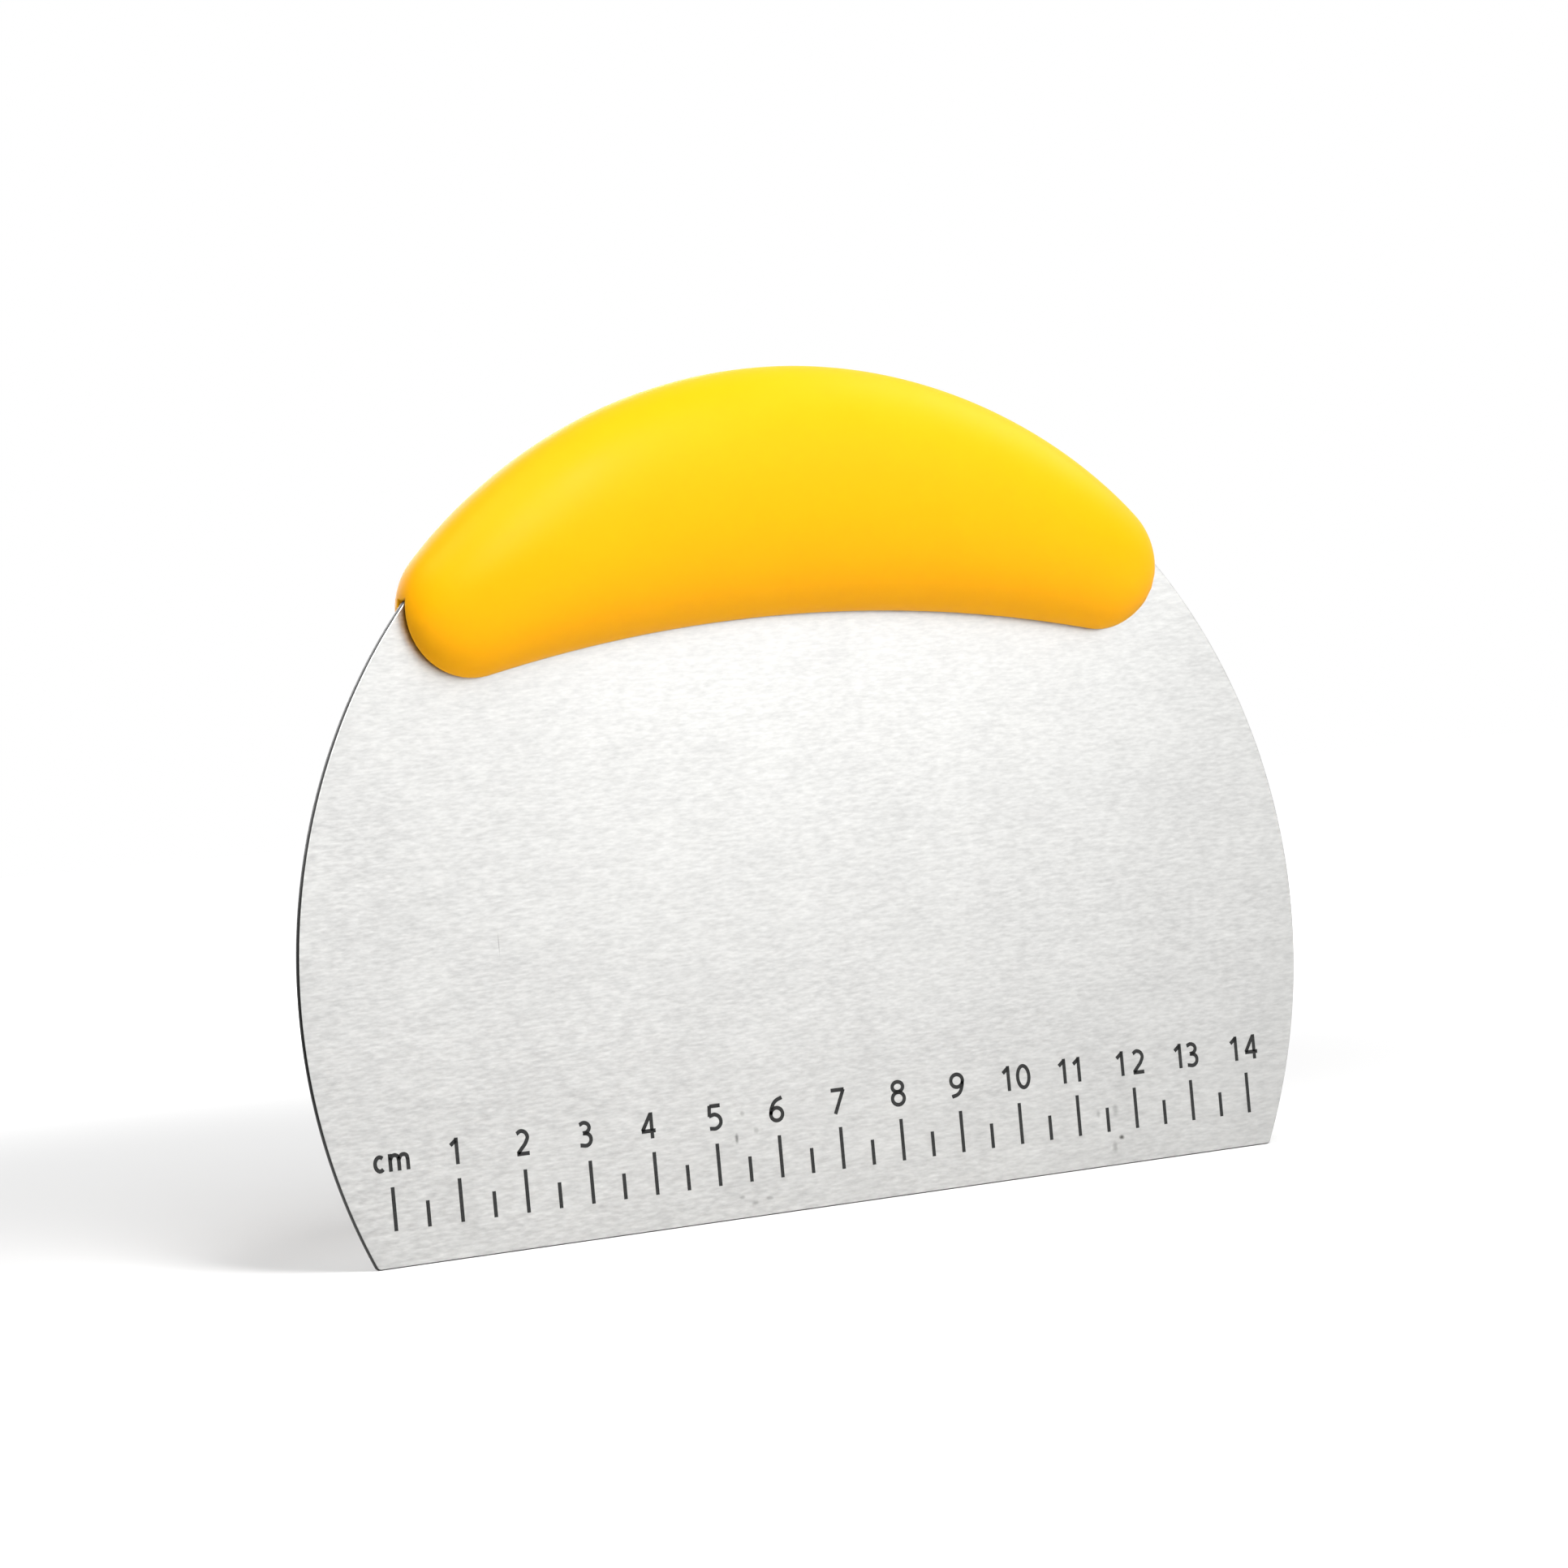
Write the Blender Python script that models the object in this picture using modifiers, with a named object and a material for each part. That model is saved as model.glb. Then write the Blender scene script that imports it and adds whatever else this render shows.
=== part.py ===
"""Dough scraper: a half-moon steel blade held in a soft banana-shaped handle.

Metres, +Z up. The scraper stands on its straight scraping edge with its front face towards -Y,
and the origin is at the middle of that edge, halfway through the sheet.
"""
import math

import bmesh
import bpy
from mathutils import Matrix, Vector

# Blade: a round blank cut off straight
BLADE_RADIUS = 0.0810
CENTRE_HEIGHT = 0.0349      # centre of the round outline above the scraping edge
BLADE_THICKNESS = 0.0010
CORNER_RADIUS = 0.0004      # at the two ends of the scraping edge
EDGE_BREAK = 0.0002         # chamfer left by deburring

# Grip outline seen from the front: a crest arc, an underside arc and a round lobe at each end
CREST_COVER = 0.0025        # grip above the blade's rim at the middle
CREST_RADIUS = 0.0823
GRIP_HEIGHT = 0.0351        # crest to underside at the middle
UNDER_RADIUS = 0.2300       # hollow curve of the underside
LOBE_RADIUS = 0.0098
GRIP_DEPTH = 0.0225         # front to back at the middle
CHEEK_POWER = 2.15          # section across the grip: 2 is an ellipse, more is fuller
TAPER_POWER = 2.9           # the same for the outline seen from above

# Walls and stiffening
GRIP_WALL = 0.0016          # soft skin
CORE_WALL = 0.0020
RIB_THICKNESS = 0.0016
RIB_PITCH = 0.0120
RIB_STATIONS = (-4, -2, -1, 1, 2, 4)
PEG_STATIONS = (-3, 0, 3)
PEG_RADIUS = 0.0025
PEG_TIP_CHAMFER = 0.0004
BOSS_WALL = 0.0017          # round a peg's socket
SOCKET_FLOOR = 0.0018       # core left beyond the end of an outer socket

# Clearances
FIT = 0.0003                # between faces that touch
LIP_GAP = 0.0006            # from the slot's lips to the faces of the blade
RIM_GAP = 0.0004            # from the end of the slot to the blade's rim

# Facets and shading
SHARP_ANGLE = math.radians(35)
BLADE_SIDES = 144
BODY_STEPS = 26
LOBE_STEPS = 7
SECTION_SIDES = 28
PEG_SIDES = 24

# Derived sizes
RIM_TOP = CENTRE_HEIGHT + BLADE_RADIUS
CREST_CENTRE = RIM_TOP + CREST_COVER - CREST_RADIUS
UNDER_CENTRE = RIM_TOP + CREST_COVER - GRIP_HEIGHT - UNDER_RADIUS
MATING_FACE = BLADE_THICKNESS / 2 + FIT
CORE_INSET = GRIP_WALL + FIT
POCKET_INSET = CORE_INSET + CORE_WALL
SOCKET_RADIUS = PEG_RADIUS + FIT
BOSS_RADIUS = SOCKET_RADIUS + BOSS_WALL


def superellipse(share, power):
    """Height of a unit superellipse at a share of its half width."""
    return max(0.0, 1.0 - abs(share) ** power) ** (1.0 / power)


def arc_point(centre_height, radius, angle):
    """Point on an arc round a centre on the Z axis, at an angle from straight up."""
    return Vector((radius * math.sin(angle), 0.0, centre_height + radius * math.cos(angle)))


def lobe_centre():
    """Centre of the right lobe, which is tangent to the crest arc and to the underside arc."""
    from_crest = CREST_RADIUS - LOBE_RADIUS
    from_under = UNDER_RADIUS + LOBE_RADIUS
    squares = from_crest ** 2 - from_under ** 2 - CREST_CENTRE ** 2 + UNDER_CENTRE ** 2
    height = squares / (2 * (UNDER_CENTRE - CREST_CENTRE))
    return Vector((math.sqrt(from_crest ** 2 - (height - CREST_CENTRE) ** 2), 0.0, height))


def half_outline(inset):
    """Opposite points on the outline, from the middle to the right lobe, and the lobe's tip."""
    lobe = lobe_centre()
    crest_angle = math.atan2(lobe.x, lobe.z - CREST_CENTRE)
    under_angle = math.atan2(lobe.x, lobe.z - UNDER_CENTRE)
    pairs = []
    half_steps = BODY_STEPS // 2
    for step in range(half_steps + 1):
        share = step / half_steps
        top = arc_point(CREST_CENTRE, CREST_RADIUS - inset, share * crest_angle)
        under = arc_point(UNDER_CENTRE, UNDER_RADIUS + inset, share * under_angle)
        pairs.append((top, under))
    lobe_middle = (math.pi + under_angle + crest_angle) / 2
    lobe_reach = (math.pi + under_angle - crest_angle) / 2
    sideways = Vector((lobe.x, 0.0, 0.0))
    for step in range(1, LOBE_STEPS):
        turn = lobe_reach * (1.0 - step / LOBE_STEPS)
        top = sideways + arc_point(lobe.z, LOBE_RADIUS - inset, lobe_middle - turn)
        under = sideways + arc_point(lobe.z, LOBE_RADIUS - inset, lobe_middle + turn)
        pairs.append((top, under))
    tip = sideways + arc_point(lobe.z, LOBE_RADIUS - inset, lobe_middle)
    return pairs, tip


def half_depths(inset):
    """Half the handle's depth at each pair of half_outline."""
    pairs, tip = half_outline(inset)
    middles = [(top + under) / 2 for top, under in pairs] + [tip]
    distances = [0.0]
    for near, far in zip(middles, middles[1:]):
        distances.append(distances[-1] + (far - near).length)
    deepest = GRIP_DEPTH / 2 - inset
    return [deepest * superellipse(distance / distances[-1], TAPER_POWER) for distance in distances[:-1]]


def section_ring(form, top, under, depth):
    """Closed ring of vertices across the handle, widest halfway between its top and under points."""
    middle = (top + under) / 2
    rise = (top - under) / 2
    ring = []
    for side in range(SECTION_SIDES):
        angle = 2 * math.pi * side / SECTION_SIDES
        across = math.copysign(abs(math.cos(angle)) ** (2 / CHEEK_POWER), math.cos(angle))
        up = math.copysign(abs(math.sin(angle)) ** (2 / CHEEK_POWER), math.sin(angle))
        ring.append(form.verts.new(middle + rise * up + Vector((0.0, depth * across, 0.0))))
    return ring


def handle_form(inset):
    """The whole banana shape, smaller by inset all round: a loft along the handle."""
    pairs, tip = half_outline(inset)
    right = [(top, under, depth) for (top, under), depth in zip(pairs, half_depths(inset))]
    flip = Matrix.Scale(-1.0, 3, Vector((1.0, 0.0, 0.0)))
    left = [(flip @ top, flip @ under, depth) for top, under, depth in right[:0:-1]]
    form = bmesh.new()
    rings = [section_ring(form, *station) for station in left + right]
    for ring, after in zip(rings, rings[1:]):
        for side in range(SECTION_SIDES):
            nxt = (side + 1) % SECTION_SIDES
            form.faces.new((ring[side], ring[nxt], after[nxt], after[side]))
    for ring, pole in ((rings[0], form.verts.new(flip @ tip)), (rings[-1], form.verts.new(tip))):
        for side in range(SECTION_SIDES):
            form.faces.new((ring[side], ring[(side + 1) % SECTION_SIDES], pole))
    bmesh.ops.recalc_face_normals(form, faces=form.faces)
    return form


def cut_flat(form, point, outward):
    """Cut a closed form off at a plane, on the side that outward points to, and close the cut."""
    geometry = form.verts[:] + form.edges[:] + form.faces[:]
    cut = bmesh.ops.bisect_plane(form, geom=geometry, dist=1e-7, plane_co=point, plane_no=outward,
                                 clear_outer=True)
    rim = [item for item in cut["geom_cut"] if isinstance(item, bmesh.types.BMEdge)]
    bmesh.ops.contextual_create(form, geom=rim)
    bmesh.ops.recalc_face_normals(form, faces=form.faces)


def add_rod(form, radius, start, end, x, z, sides):
    """Round rod along Y between two depths, and the vertices of its start face."""
    place = Matrix.Translation((x, (start + end) / 2, z)) @ Matrix.Rotation(math.pi / 2, 4, "X")
    rod = bmesh.ops.create_cone(form, cap_ends=True, segments=sides, radius1=radius, radius2=radius,
                                depth=abs(end - start), matrix=place)
    return [vert for vert in rod["verts"] if abs(vert.co.y - start) < 1e-6]


def add_box(form, size, x, z):
    """Box centred on the blade's plane."""
    place = Matrix.Translation((x, 0.0, z)) @ Matrix.Diagonal((*size, 1.0))
    bmesh.ops.create_cube(form, size=1.0, matrix=place)


def spine_height(x):
    """Height halfway between the crest and the underside."""
    crest = CREST_CENTRE + math.sqrt(CREST_RADIUS ** 2 - x ** 2)
    under = UNDER_CENTRE + math.sqrt(UNDER_RADIUS ** 2 - x ** 2)
    return (crest + under) / 2


def peg_places():
    """X and Z of each peg, on the handle's spine."""
    return [(station * RIB_PITCH, spine_height(station * RIB_PITCH)) for station in PEG_STATIONS]


def peg_end():
    """Depth in front of the blade's middle plane where the pegs end, set by the outer sockets."""
    half_length = lobe_centre().x + LOBE_RADIUS - CORE_INSET
    outer_share = max(PEG_STATIONS) * RIB_PITCH / half_length
    core_depth = (GRIP_DEPTH / 2 - CORE_INSET) * superellipse(outer_share, TAPER_POWER)
    return core_depth - SOCKET_FLOOR - FIT


def add_object(name, form, collection, finish=None, parent=None):
    """Turn a form into a named, smooth-shaded object."""
    mesh = bpy.data.meshes.new(name)
    form.to_mesh(mesh)
    form.free()
    mesh.shade_smooth()
    item = bpy.data.objects.new(name, mesh)
    collection.objects.link(item)
    item.parent = parent
    if finish is None:
        item.hide_render = True
        item.display_type = "WIRE"
    else:
        mesh.materials.append(finish)
    return item


def add_boolean(item, operation, other):
    """Cut an object with another one or join them."""
    step = item.modifiers.new(other.name, "BOOLEAN")
    step.operation = operation
    step.solver = "EXACT"
    step.object = other


def sharp_edge_nodes():
    """Node group that breaks the smooth shading along a body's sharp edges."""
    tree = bpy.data.node_groups.new("sharp_edges", "GeometryNodeTree")
    tree.interface.new_socket("Body", in_out="INPUT", socket_type="NodeSocketGeometry")
    tree.interface.new_socket("Body", in_out="OUTPUT", socket_type="NodeSocketGeometry")
    start = tree.nodes.new("NodeGroupInput")
    angle = tree.nodes.new("GeometryNodeInputMeshEdgeAngle")
    beyond = tree.nodes.new("ShaderNodeMath")
    beyond.operation = "GREATER_THAN"
    beyond.inputs[1].default_value = SHARP_ANGLE
    shade = tree.nodes.new("GeometryNodeSetShadeSmooth")
    shade.domain = "EDGE"
    shade.inputs["Shade Smooth"].default_value = False
    end = tree.nodes.new("NodeGroupOutput")
    tree.links.new(angle.outputs["Unsigned Angle"], beyond.inputs[0])
    tree.links.new(start.outputs["Body"], shade.inputs["Geometry"])
    tree.links.new(beyond.outputs["Value"], shade.inputs["Selection"])
    tree.links.new(shade.outputs["Geometry"], end.inputs["Body"])
    return tree


def add_material(name, colour, roughness, metallic):
    """Plain finish in the part's own colour."""
    finish = bpy.data.materials.new(name)
    finish.use_nodes = True
    shader = finish.node_tree.nodes["Principled BSDF"]
    shader.inputs["Base Color"].default_value = (*colour, 1.0)
    shader.inputs["Roughness"].default_value = roughness
    shader.inputs["Metallic"].default_value = metallic
    return finish


def blade_blank():
    """Round sheet cut off at the scraping edge, with its two corners rounded."""
    form = bmesh.new()
    add_rod(form, BLADE_RADIUS, -BLADE_THICKNESS / 2, BLADE_THICKNESS / 2, 0.0, CENTRE_HEIGHT, BLADE_SIDES)
    cut_flat(form, Vector((0.0, 0.0, 0.0)), Vector((0.0, 0.0, -1.0)))
    corners = [edge for edge in form.edges
               if all(abs(vert.co.z) < 1e-6 for vert in edge.verts)
               and abs(edge.verts[0].co.y - edge.verts[1].co.y) > BLADE_THICKNESS / 2]
    bmesh.ops.bevel(form, geom=corners, offset=CORNER_RADIUS, offset_type="OFFSET", segments=3,
                    profile=0.5, affect="EDGES", material=-1)
    return form


def peg_hole_cutter():
    """Rods that punch the blade's holes."""
    form = bmesh.new()
    for x, z in peg_places():
        add_rod(form, SOCKET_RADIUS, -BLADE_THICKNESS, BLADE_THICKNESS, x, z, PEG_SIDES)
    return form


def slot_cutter():
    """Disc round the blade that opens the slot in the grip."""
    form = bmesh.new()
    half_width = BLADE_THICKNESS / 2 + LIP_GAP
    add_rod(form, BLADE_RADIUS + RIM_GAP, -half_width, half_width, 0.0, CENTRE_HEIGHT, BLADE_SIDES)
    return form


def stiffeners():
    """Cross ribs and peg bosses that stay standing in the core's pockets."""
    form = bmesh.new()
    for station in RIB_STATIONS:
        x = station * RIB_PITCH
        add_box(form, (RIB_THICKNESS, 2 * GRIP_DEPTH, 2 * GRIP_HEIGHT), x, spine_height(x))
    for x, z in peg_places():
        add_rod(form, BOSS_RADIUS, -GRIP_DEPTH, GRIP_DEPTH, x, z, PEG_SIDES)
    return form


def core_half(side):
    """Half of the core, front for -1 and rear for 1, cut flat where it faces the blade."""
    form = handle_form(CORE_INSET)
    cut_flat(form, Vector((0.0, side * MATING_FACE, 0.0)), Vector((0.0, -side, 0.0)))
    return form


def socket_cutter():
    """Blind holes in the front half of the core."""
    form = bmesh.new()
    for x, z in peg_places():
        add_rod(form, SOCKET_RADIUS, -peg_end() - FIT, 0.0, x, z, PEG_SIDES)
    return form


def pegs():
    """Pegs that stand on the rear half of the core, with chamfered tips."""
    form = bmesh.new()
    for x, z in peg_places():
        tip = add_rod(form, PEG_RADIUS, -peg_end(), MATING_FACE + CORE_WALL, x, z, PEG_SIDES)
        rim = [edge for edge in form.edges if all(vert in tip for vert in edge.verts)]
        bmesh.ops.bevel(form, geom=rim, offset=PEG_TIP_CHAMFER, offset_type="OFFSET", segments=1,
                        profile=0.5, affect="EDGES", material=-1)
    return form


for old in list(bpy.data.objects):
    bpy.data.objects.remove(old, do_unlink=True)

parts = bpy.data.collections.new("dough_scraper")
cutters = bpy.data.collections.new("cutters")
bpy.context.scene.collection.children.link(parts)
bpy.context.scene.collection.children.link(cutters)

origin = bpy.data.objects.new("dough_scraper_origin", None)
parts.objects.link(origin)

steel = add_material("brushed_stainless_steel", (0.78, 0.78, 0.77), 0.32, 1.0)
core_plastic = add_material("natural_polypropylene", (0.80, 0.79, 0.74), 0.50, 0.0)
soft_yellow = add_material("yellow_soft_plastic", (0.98, 0.54, 0.02), 0.45, 0.0)

blade = add_object("blade", blade_blank(), parts, steel, origin)
core_front = add_object("core_front", core_half(-1), parts, core_plastic, origin)
core_rear = add_object("core_rear", core_half(1), parts, core_plastic, origin)
grip = add_object("grip", handle_form(0.0), parts, soft_yellow, origin)

holes = add_object("peg_holes", peg_hole_cutter(), cutters)
slot = add_object("blade_slot", slot_cutter(), cutters)
hollow = add_object("grip_hollow", handle_form(GRIP_WALL), cutters)
pocket = add_object("core_pockets", handle_form(POCKET_INSET), cutters)
ribs = add_object("ribs_and_bosses", stiffeners(), cutters)
sockets = add_object("peg_sockets", socket_cutter(), cutters)
peg_set = add_object("peg_set", pegs(), cutters)

chamfer = blade.modifiers.new("edge_break", "BEVEL")
chamfer.width = EDGE_BREAK
chamfer.segments = 1
chamfer.limit_method = "ANGLE"
chamfer.angle_limit = math.radians(60)
add_boolean(blade, "DIFFERENCE", holes)

add_boolean(pocket, "DIFFERENCE", ribs)
for half in (core_front, core_rear):
    add_boolean(half, "DIFFERENCE", pocket)
add_boolean(core_front, "DIFFERENCE", sockets)
add_boolean(core_rear, "UNION", peg_set)

add_boolean(grip, "DIFFERENCE", hollow)
add_boolean(grip, "DIFFERENCE", slot)

sharp_edges = sharp_edge_nodes()
for part in (blade, core_front, core_rear, grip):
    part.modifiers.new("sharp_edges", "NODES").node_group = sharp_edges
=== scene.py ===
"""Dough scraper for pastry: a half-moon steel blade held in a soft yellow handle.

Metres, +Z up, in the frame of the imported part. The scraper stands on its scraping edge with the
centimetre scale towards -Y, and the origin is the middle of that edge, halfway through the sheet.
"""
import math

import bmesh
import bpy
from mathutils import Euler, Matrix, Vector


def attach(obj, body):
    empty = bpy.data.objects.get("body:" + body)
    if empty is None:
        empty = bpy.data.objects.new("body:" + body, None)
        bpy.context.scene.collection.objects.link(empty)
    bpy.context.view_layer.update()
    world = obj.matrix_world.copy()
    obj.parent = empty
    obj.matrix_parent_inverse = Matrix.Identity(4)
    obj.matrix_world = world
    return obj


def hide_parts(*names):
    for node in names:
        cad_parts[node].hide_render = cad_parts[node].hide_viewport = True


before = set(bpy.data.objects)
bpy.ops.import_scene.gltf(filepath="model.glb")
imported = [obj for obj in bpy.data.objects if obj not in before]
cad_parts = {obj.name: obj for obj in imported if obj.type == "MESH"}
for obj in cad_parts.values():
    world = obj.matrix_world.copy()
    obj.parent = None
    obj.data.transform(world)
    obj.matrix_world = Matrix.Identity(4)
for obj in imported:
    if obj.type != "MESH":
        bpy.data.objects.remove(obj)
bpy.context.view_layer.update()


# Blade: one sheet of stainless steel, blanked round and sheared straight along the scraping edge.
# Its faces are belt-brushed lengthwise. Its outline is tumbled, which takes off the burr and leaves
# the cut edge darker and rougher than the faces. On its left side and underneath, painted shade
# makes it darker still.
BLADE_RADIUS = 0.0810
BLADE_CENTRE = Vector((0.0, 0.0, 0.0349))
SHEET_THICKNESS = 0.0010
CORNER_ROUND = 0.0004
BURR_ROUND = 0.0002
PEG_HOLE_RADIUS = 0.0028
PEG_HOLE_CENTRES = ((-0.036, 0.09529), (0.0, 0.10085), (0.036, 0.09529))
RIM_POINTS = 360
HOLE_POINTS = 48
# Nearly all values of a noise pattern lie between these
NOISE_LOW, NOISE_HIGH = 0.3, 0.7
# Specks on the front face in mm: place along and up, half width and half height, and how dark
SPECKS = (
    (-16.8, 11.2, 0.24, 0.55, 0.65),
    (-15.6, 14.6, 0.30, 0.30, 0.30),
    (-13.6, 12.0, 0.35, 0.35, 0.28),
    (-16.8, 3.0, 0.40, 0.20, 0.30),
    (-14.8, 2.0, 0.40, 0.25, 0.34),
    (-12.4, 2.4, 0.45, 0.22, 0.28),
    (46.4, 8.1, 0.40, 0.60, 0.26),
    (47.1, 4.0, 0.34, 0.26, 0.90),
    (45.8, 2.6, 0.35, 0.65, 0.34),
    (43.4, 7.8, 0.26, 0.40, 0.28),
    (-50.9, 41.7, 0.06, 1.10, 0.35),
)


def colour(code):
    """Linear RGBA from an sRGB hex code."""
    channels = [int(code[place:place + 2], 16) / 255 for place in (1, 3, 5)]
    return [value / 12.92 if value <= 0.04045 else ((value + 0.055) / 1.055) ** 2.4
            for value in channels] + [1.0]


def per_mm(*sizes):
    """Scale of a pattern from the size of its features in mm: one size, or one along each axis."""
    scales = [1000 / size for size in sizes]
    return scales if len(scales) > 1 else scales[0]


def add_node(owner, kind, settings=None, **links):
    """Add a shader node with its settings, and with values or links for its inputs.

    An input goes by its name, with _ for each space, or by its number, as in _6 for input 6.
    """
    node = owner.node_tree.nodes.new(kind)
    for name, value in (settings or {}).items():
        setattr(node, name, value)
    for name, value in links.items():
        number = name[1:]
        socket = node.inputs[int(number) if number.isdigit() else name.replace("_", " ")]
        if isinstance(value, bpy.types.NodeSocket):
            owner.node_tree.links.new(value, socket)
        else:
            socket.default_value = value
    return node


def start_material(name, **values):
    """New node material: its shader with the values given, and the object's own coordinates."""
    material = bpy.data.materials.new(name)
    material.use_nodes = True
    shader = material.node_tree.nodes["Principled BSDF"]
    for socket, value in values.items():
        shader.inputs[socket.replace("_", " ")].default_value = value
    place = add_node(material, "ShaderNodeTexCoord")
    return material, shader, place


def join(owner, output, shader, socket):
    """Link a node's output to a socket of the shader."""
    owner.node_tree.links.new(output, shader.inputs[socket])


def put_in_scene(name, data):
    """Object made from a mesh, curve, lamp or camera, in the scene."""
    item = bpy.data.objects.new(name, data)
    bpy.context.scene.collection.objects.link(item)
    return item


def mesh_from(name, form):
    """Mesh made from a bmesh, which is then freed."""
    mesh = bpy.data.meshes.new(name)
    form.to_mesh(mesh)
    form.free()
    return mesh


def mesh_as_finished(item):
    """Mesh of an object as its modifiers or its bevel leave it."""
    depsgraph = bpy.context.evaluated_depsgraph_get()
    return bpy.data.meshes.new_from_object(item.evaluated_get(depsgraph))


def finished_piece(name, form, material, smooth=True):
    """Object at the origin from a finished form, riding on the part's one body."""
    mesh = mesh_from(name, form)
    mesh.materials.append(material)
    for face in mesh.polygons:
        face.use_smooth = smooth
    piece = put_in_scene(name, mesh)
    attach(piece, "root")
    return piece


def belt_grain(steel, place):
    """Height of the brushed lines, and the sheet's colour with its grain."""
    # Real grit lines are finer and longer. They are drawn as coarse as they need to be to show:
    # dashes of about 1.5 by 0.4 mm, which a picture shows as a mottled grain, and longer lines
    dash_place = add_node(steel, "ShaderNodeMapping", Vector=place.outputs["Object"],
                          Scale=per_mm(1.47, 1.47, 0.4))
    dashes = add_node(steel, "ShaderNodeTexNoise", Vector=dash_place.outputs[0], Scale=1.0,
                      Detail=3.0, Roughness=0.55)
    line_place = add_node(steel, "ShaderNodeMapping", Vector=place.outputs["Object"],
                          Scale=per_mm(11.1, 11.1, 0.417))
    lines = add_node(steel, "ShaderNodeTexNoise", Vector=line_place.outputs[0], Scale=1.0,
                     Detail=2.0, Roughness=0.5)
    brushing = add_node(steel, "ShaderNodeMix", {"data_type": "FLOAT"}, Factor=0.2,
                        _2=dashes.outputs["Fac"], _3=lines.outputs["Fac"])
    # Cloudy patches, 12 to 18 mm across, where the belt pressed harder
    cloud_place = add_node(steel, "ShaderNodeMapping", Vector=place.outputs["Object"],
                           Scale=per_mm(18.2, 18.2, 11.8))
    clouds = add_node(steel, "ShaderNodeTexNoise", Vector=cloud_place.outputs[0], Scale=1.0,
                      Detail=4.0, Roughness=0.6)
    grain = add_node(steel, "ShaderNodeMix", {"data_type": "FLOAT"}, Factor=0.22,
                     _2=brushing.outputs[0], _3=clouds.outputs["Fac"])
    tone = add_node(steel, "ShaderNodeMapRange", Value=grain.outputs[0],
                    From_Min=NOISE_LOW, From_Max=NOISE_HIGH)
    sheet = add_node(steel, "ShaderNodeMix", {"data_type": "RGBA"}, Factor=tone.outputs[0],
                     _6=colour("#B2B2B1"), _7=colour("#CECECC"))
    return brushing.outputs[0], sheet.outputs[2]


def worn_specks(steel, place, facing):
    """How worn the front face is: dull specks and one upright scratch, left by handling."""
    uneven = add_node(steel, "ShaderNodeTexNoise", Vector=place.outputs["Object"],
                      Scale=per_mm(0.455), Detail=2.0)
    worn = 0.0
    for x, z, half_width, half_height, strength in SPECKS:
        # An oval round its place, with the noise to make its outline uneven
        speck_place = add_node(steel, "ShaderNodeMapping", Vector=place.outputs["Object"],
                               Location=(-x / half_width, 0.0, -z / half_height),
                               Scale=(per_mm(half_width), 0.0, per_mm(half_height)))
        away = add_node(steel, "ShaderNodeVectorMath", {"operation": "LENGTH"},
                        _0=speck_place.outputs[0])
        rough_away = add_node(steel, "ShaderNodeMath", {"operation": "ADD"},
                              _0=away.outputs["Value"], _1=uneven.outputs["Fac"])
        speck = add_node(steel, "ShaderNodeMapRange", Value=rough_away.outputs[0],
                         From_Min=1.0, From_Max=2.1, To_Min=strength, To_Max=0.0)
        worn = add_node(steel, "ShaderNodeMath", {"operation": "MAXIMUM"},
                        _0=worn, _1=speck.outputs[0]).outputs[0]
    front = add_node(steel, "ShaderNodeMapRange", Value=facing.outputs["Y"],
                     From_Min=-0.3, From_Max=0.3, To_Min=1.0, To_Max=0.0)
    worn_front = add_node(steel, "ShaderNodeMath", {"operation": "MULTIPLY"},
                          _0=worn, _1=front.outputs[0])
    return worn_front.outputs[0]


def cut_edge(steel, facing):
    """Colour of the cut edge with painted shade on its left and underneath, and what is 1 on the
    brushed faces and 0 on that edge.
    """
    # Painted shade: on the left and underneath, which face away from the lamps, the rounded burr is
    # drawn as dark as the edge itself
    left = add_node(steel, "ShaderNodeMapRange", Value=facing.outputs["X"],
                    From_Min=-0.20, From_Max=-0.05, To_Min=1.0, To_Max=0.0)
    below = add_node(steel, "ShaderNodeMapRange", Value=facing.outputs["Z"],
                     From_Min=-0.4, From_Max=-0.1, To_Min=1.0, To_Max=0.0)
    painted_burr_shade = add_node(steel, "ShaderNodeMath", {"operation": "MAXIMUM"}, _0=left.outputs[0],
                    _1=below.outputs[0])
    flatness = add_node(steel, "ShaderNodeMath", {"operation": "ABSOLUTE"},
                        _0=facing.outputs["Y"])
    seen_face = add_node(steel, "ShaderNodeMath", {"operation": "MULTIPLY_ADD"},
                         _0=painted_burr_shade.outputs[0], _1=-0.5, _2=flatness.outputs[0])
    on_face = add_node(steel, "ShaderNodeMapRange", Value=seen_face.outputs[0],
                       From_Min=0.25, From_Max=0.45)
    # Painted shade: where the left edge stands upright, away from the lamps, it is drawn nearly
    # black
    slope = add_node(steel, "ShaderNodeMath", {"operation": "ABSOLUTE"}, _0=facing.outputs["Z"])
    upright_edge = add_node(steel, "ShaderNodeMapRange", {"interpolation_type": "SMOOTHSTEP"},
                            Value=slope.outputs[0], From_Min=0.05, From_Max=0.32,
                            To_Min=1.0, To_Max=0.0)
    painted_left_shade = add_node(steel, "ShaderNodeMath", {"operation": "MULTIPLY"},
                         _0=upright_edge.outputs[0], _1=left.outputs[0])
    edge_and_painted_shade = add_node(steel, "ShaderNodeMix", {"data_type": "RGBA"}, Factor=painted_left_shade.outputs[0],
                   _6=colour("#424242"), _7=colour("#0E0E0E"))
    return edge_and_painted_shade.outputs[2], on_face.outputs[0]


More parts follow.
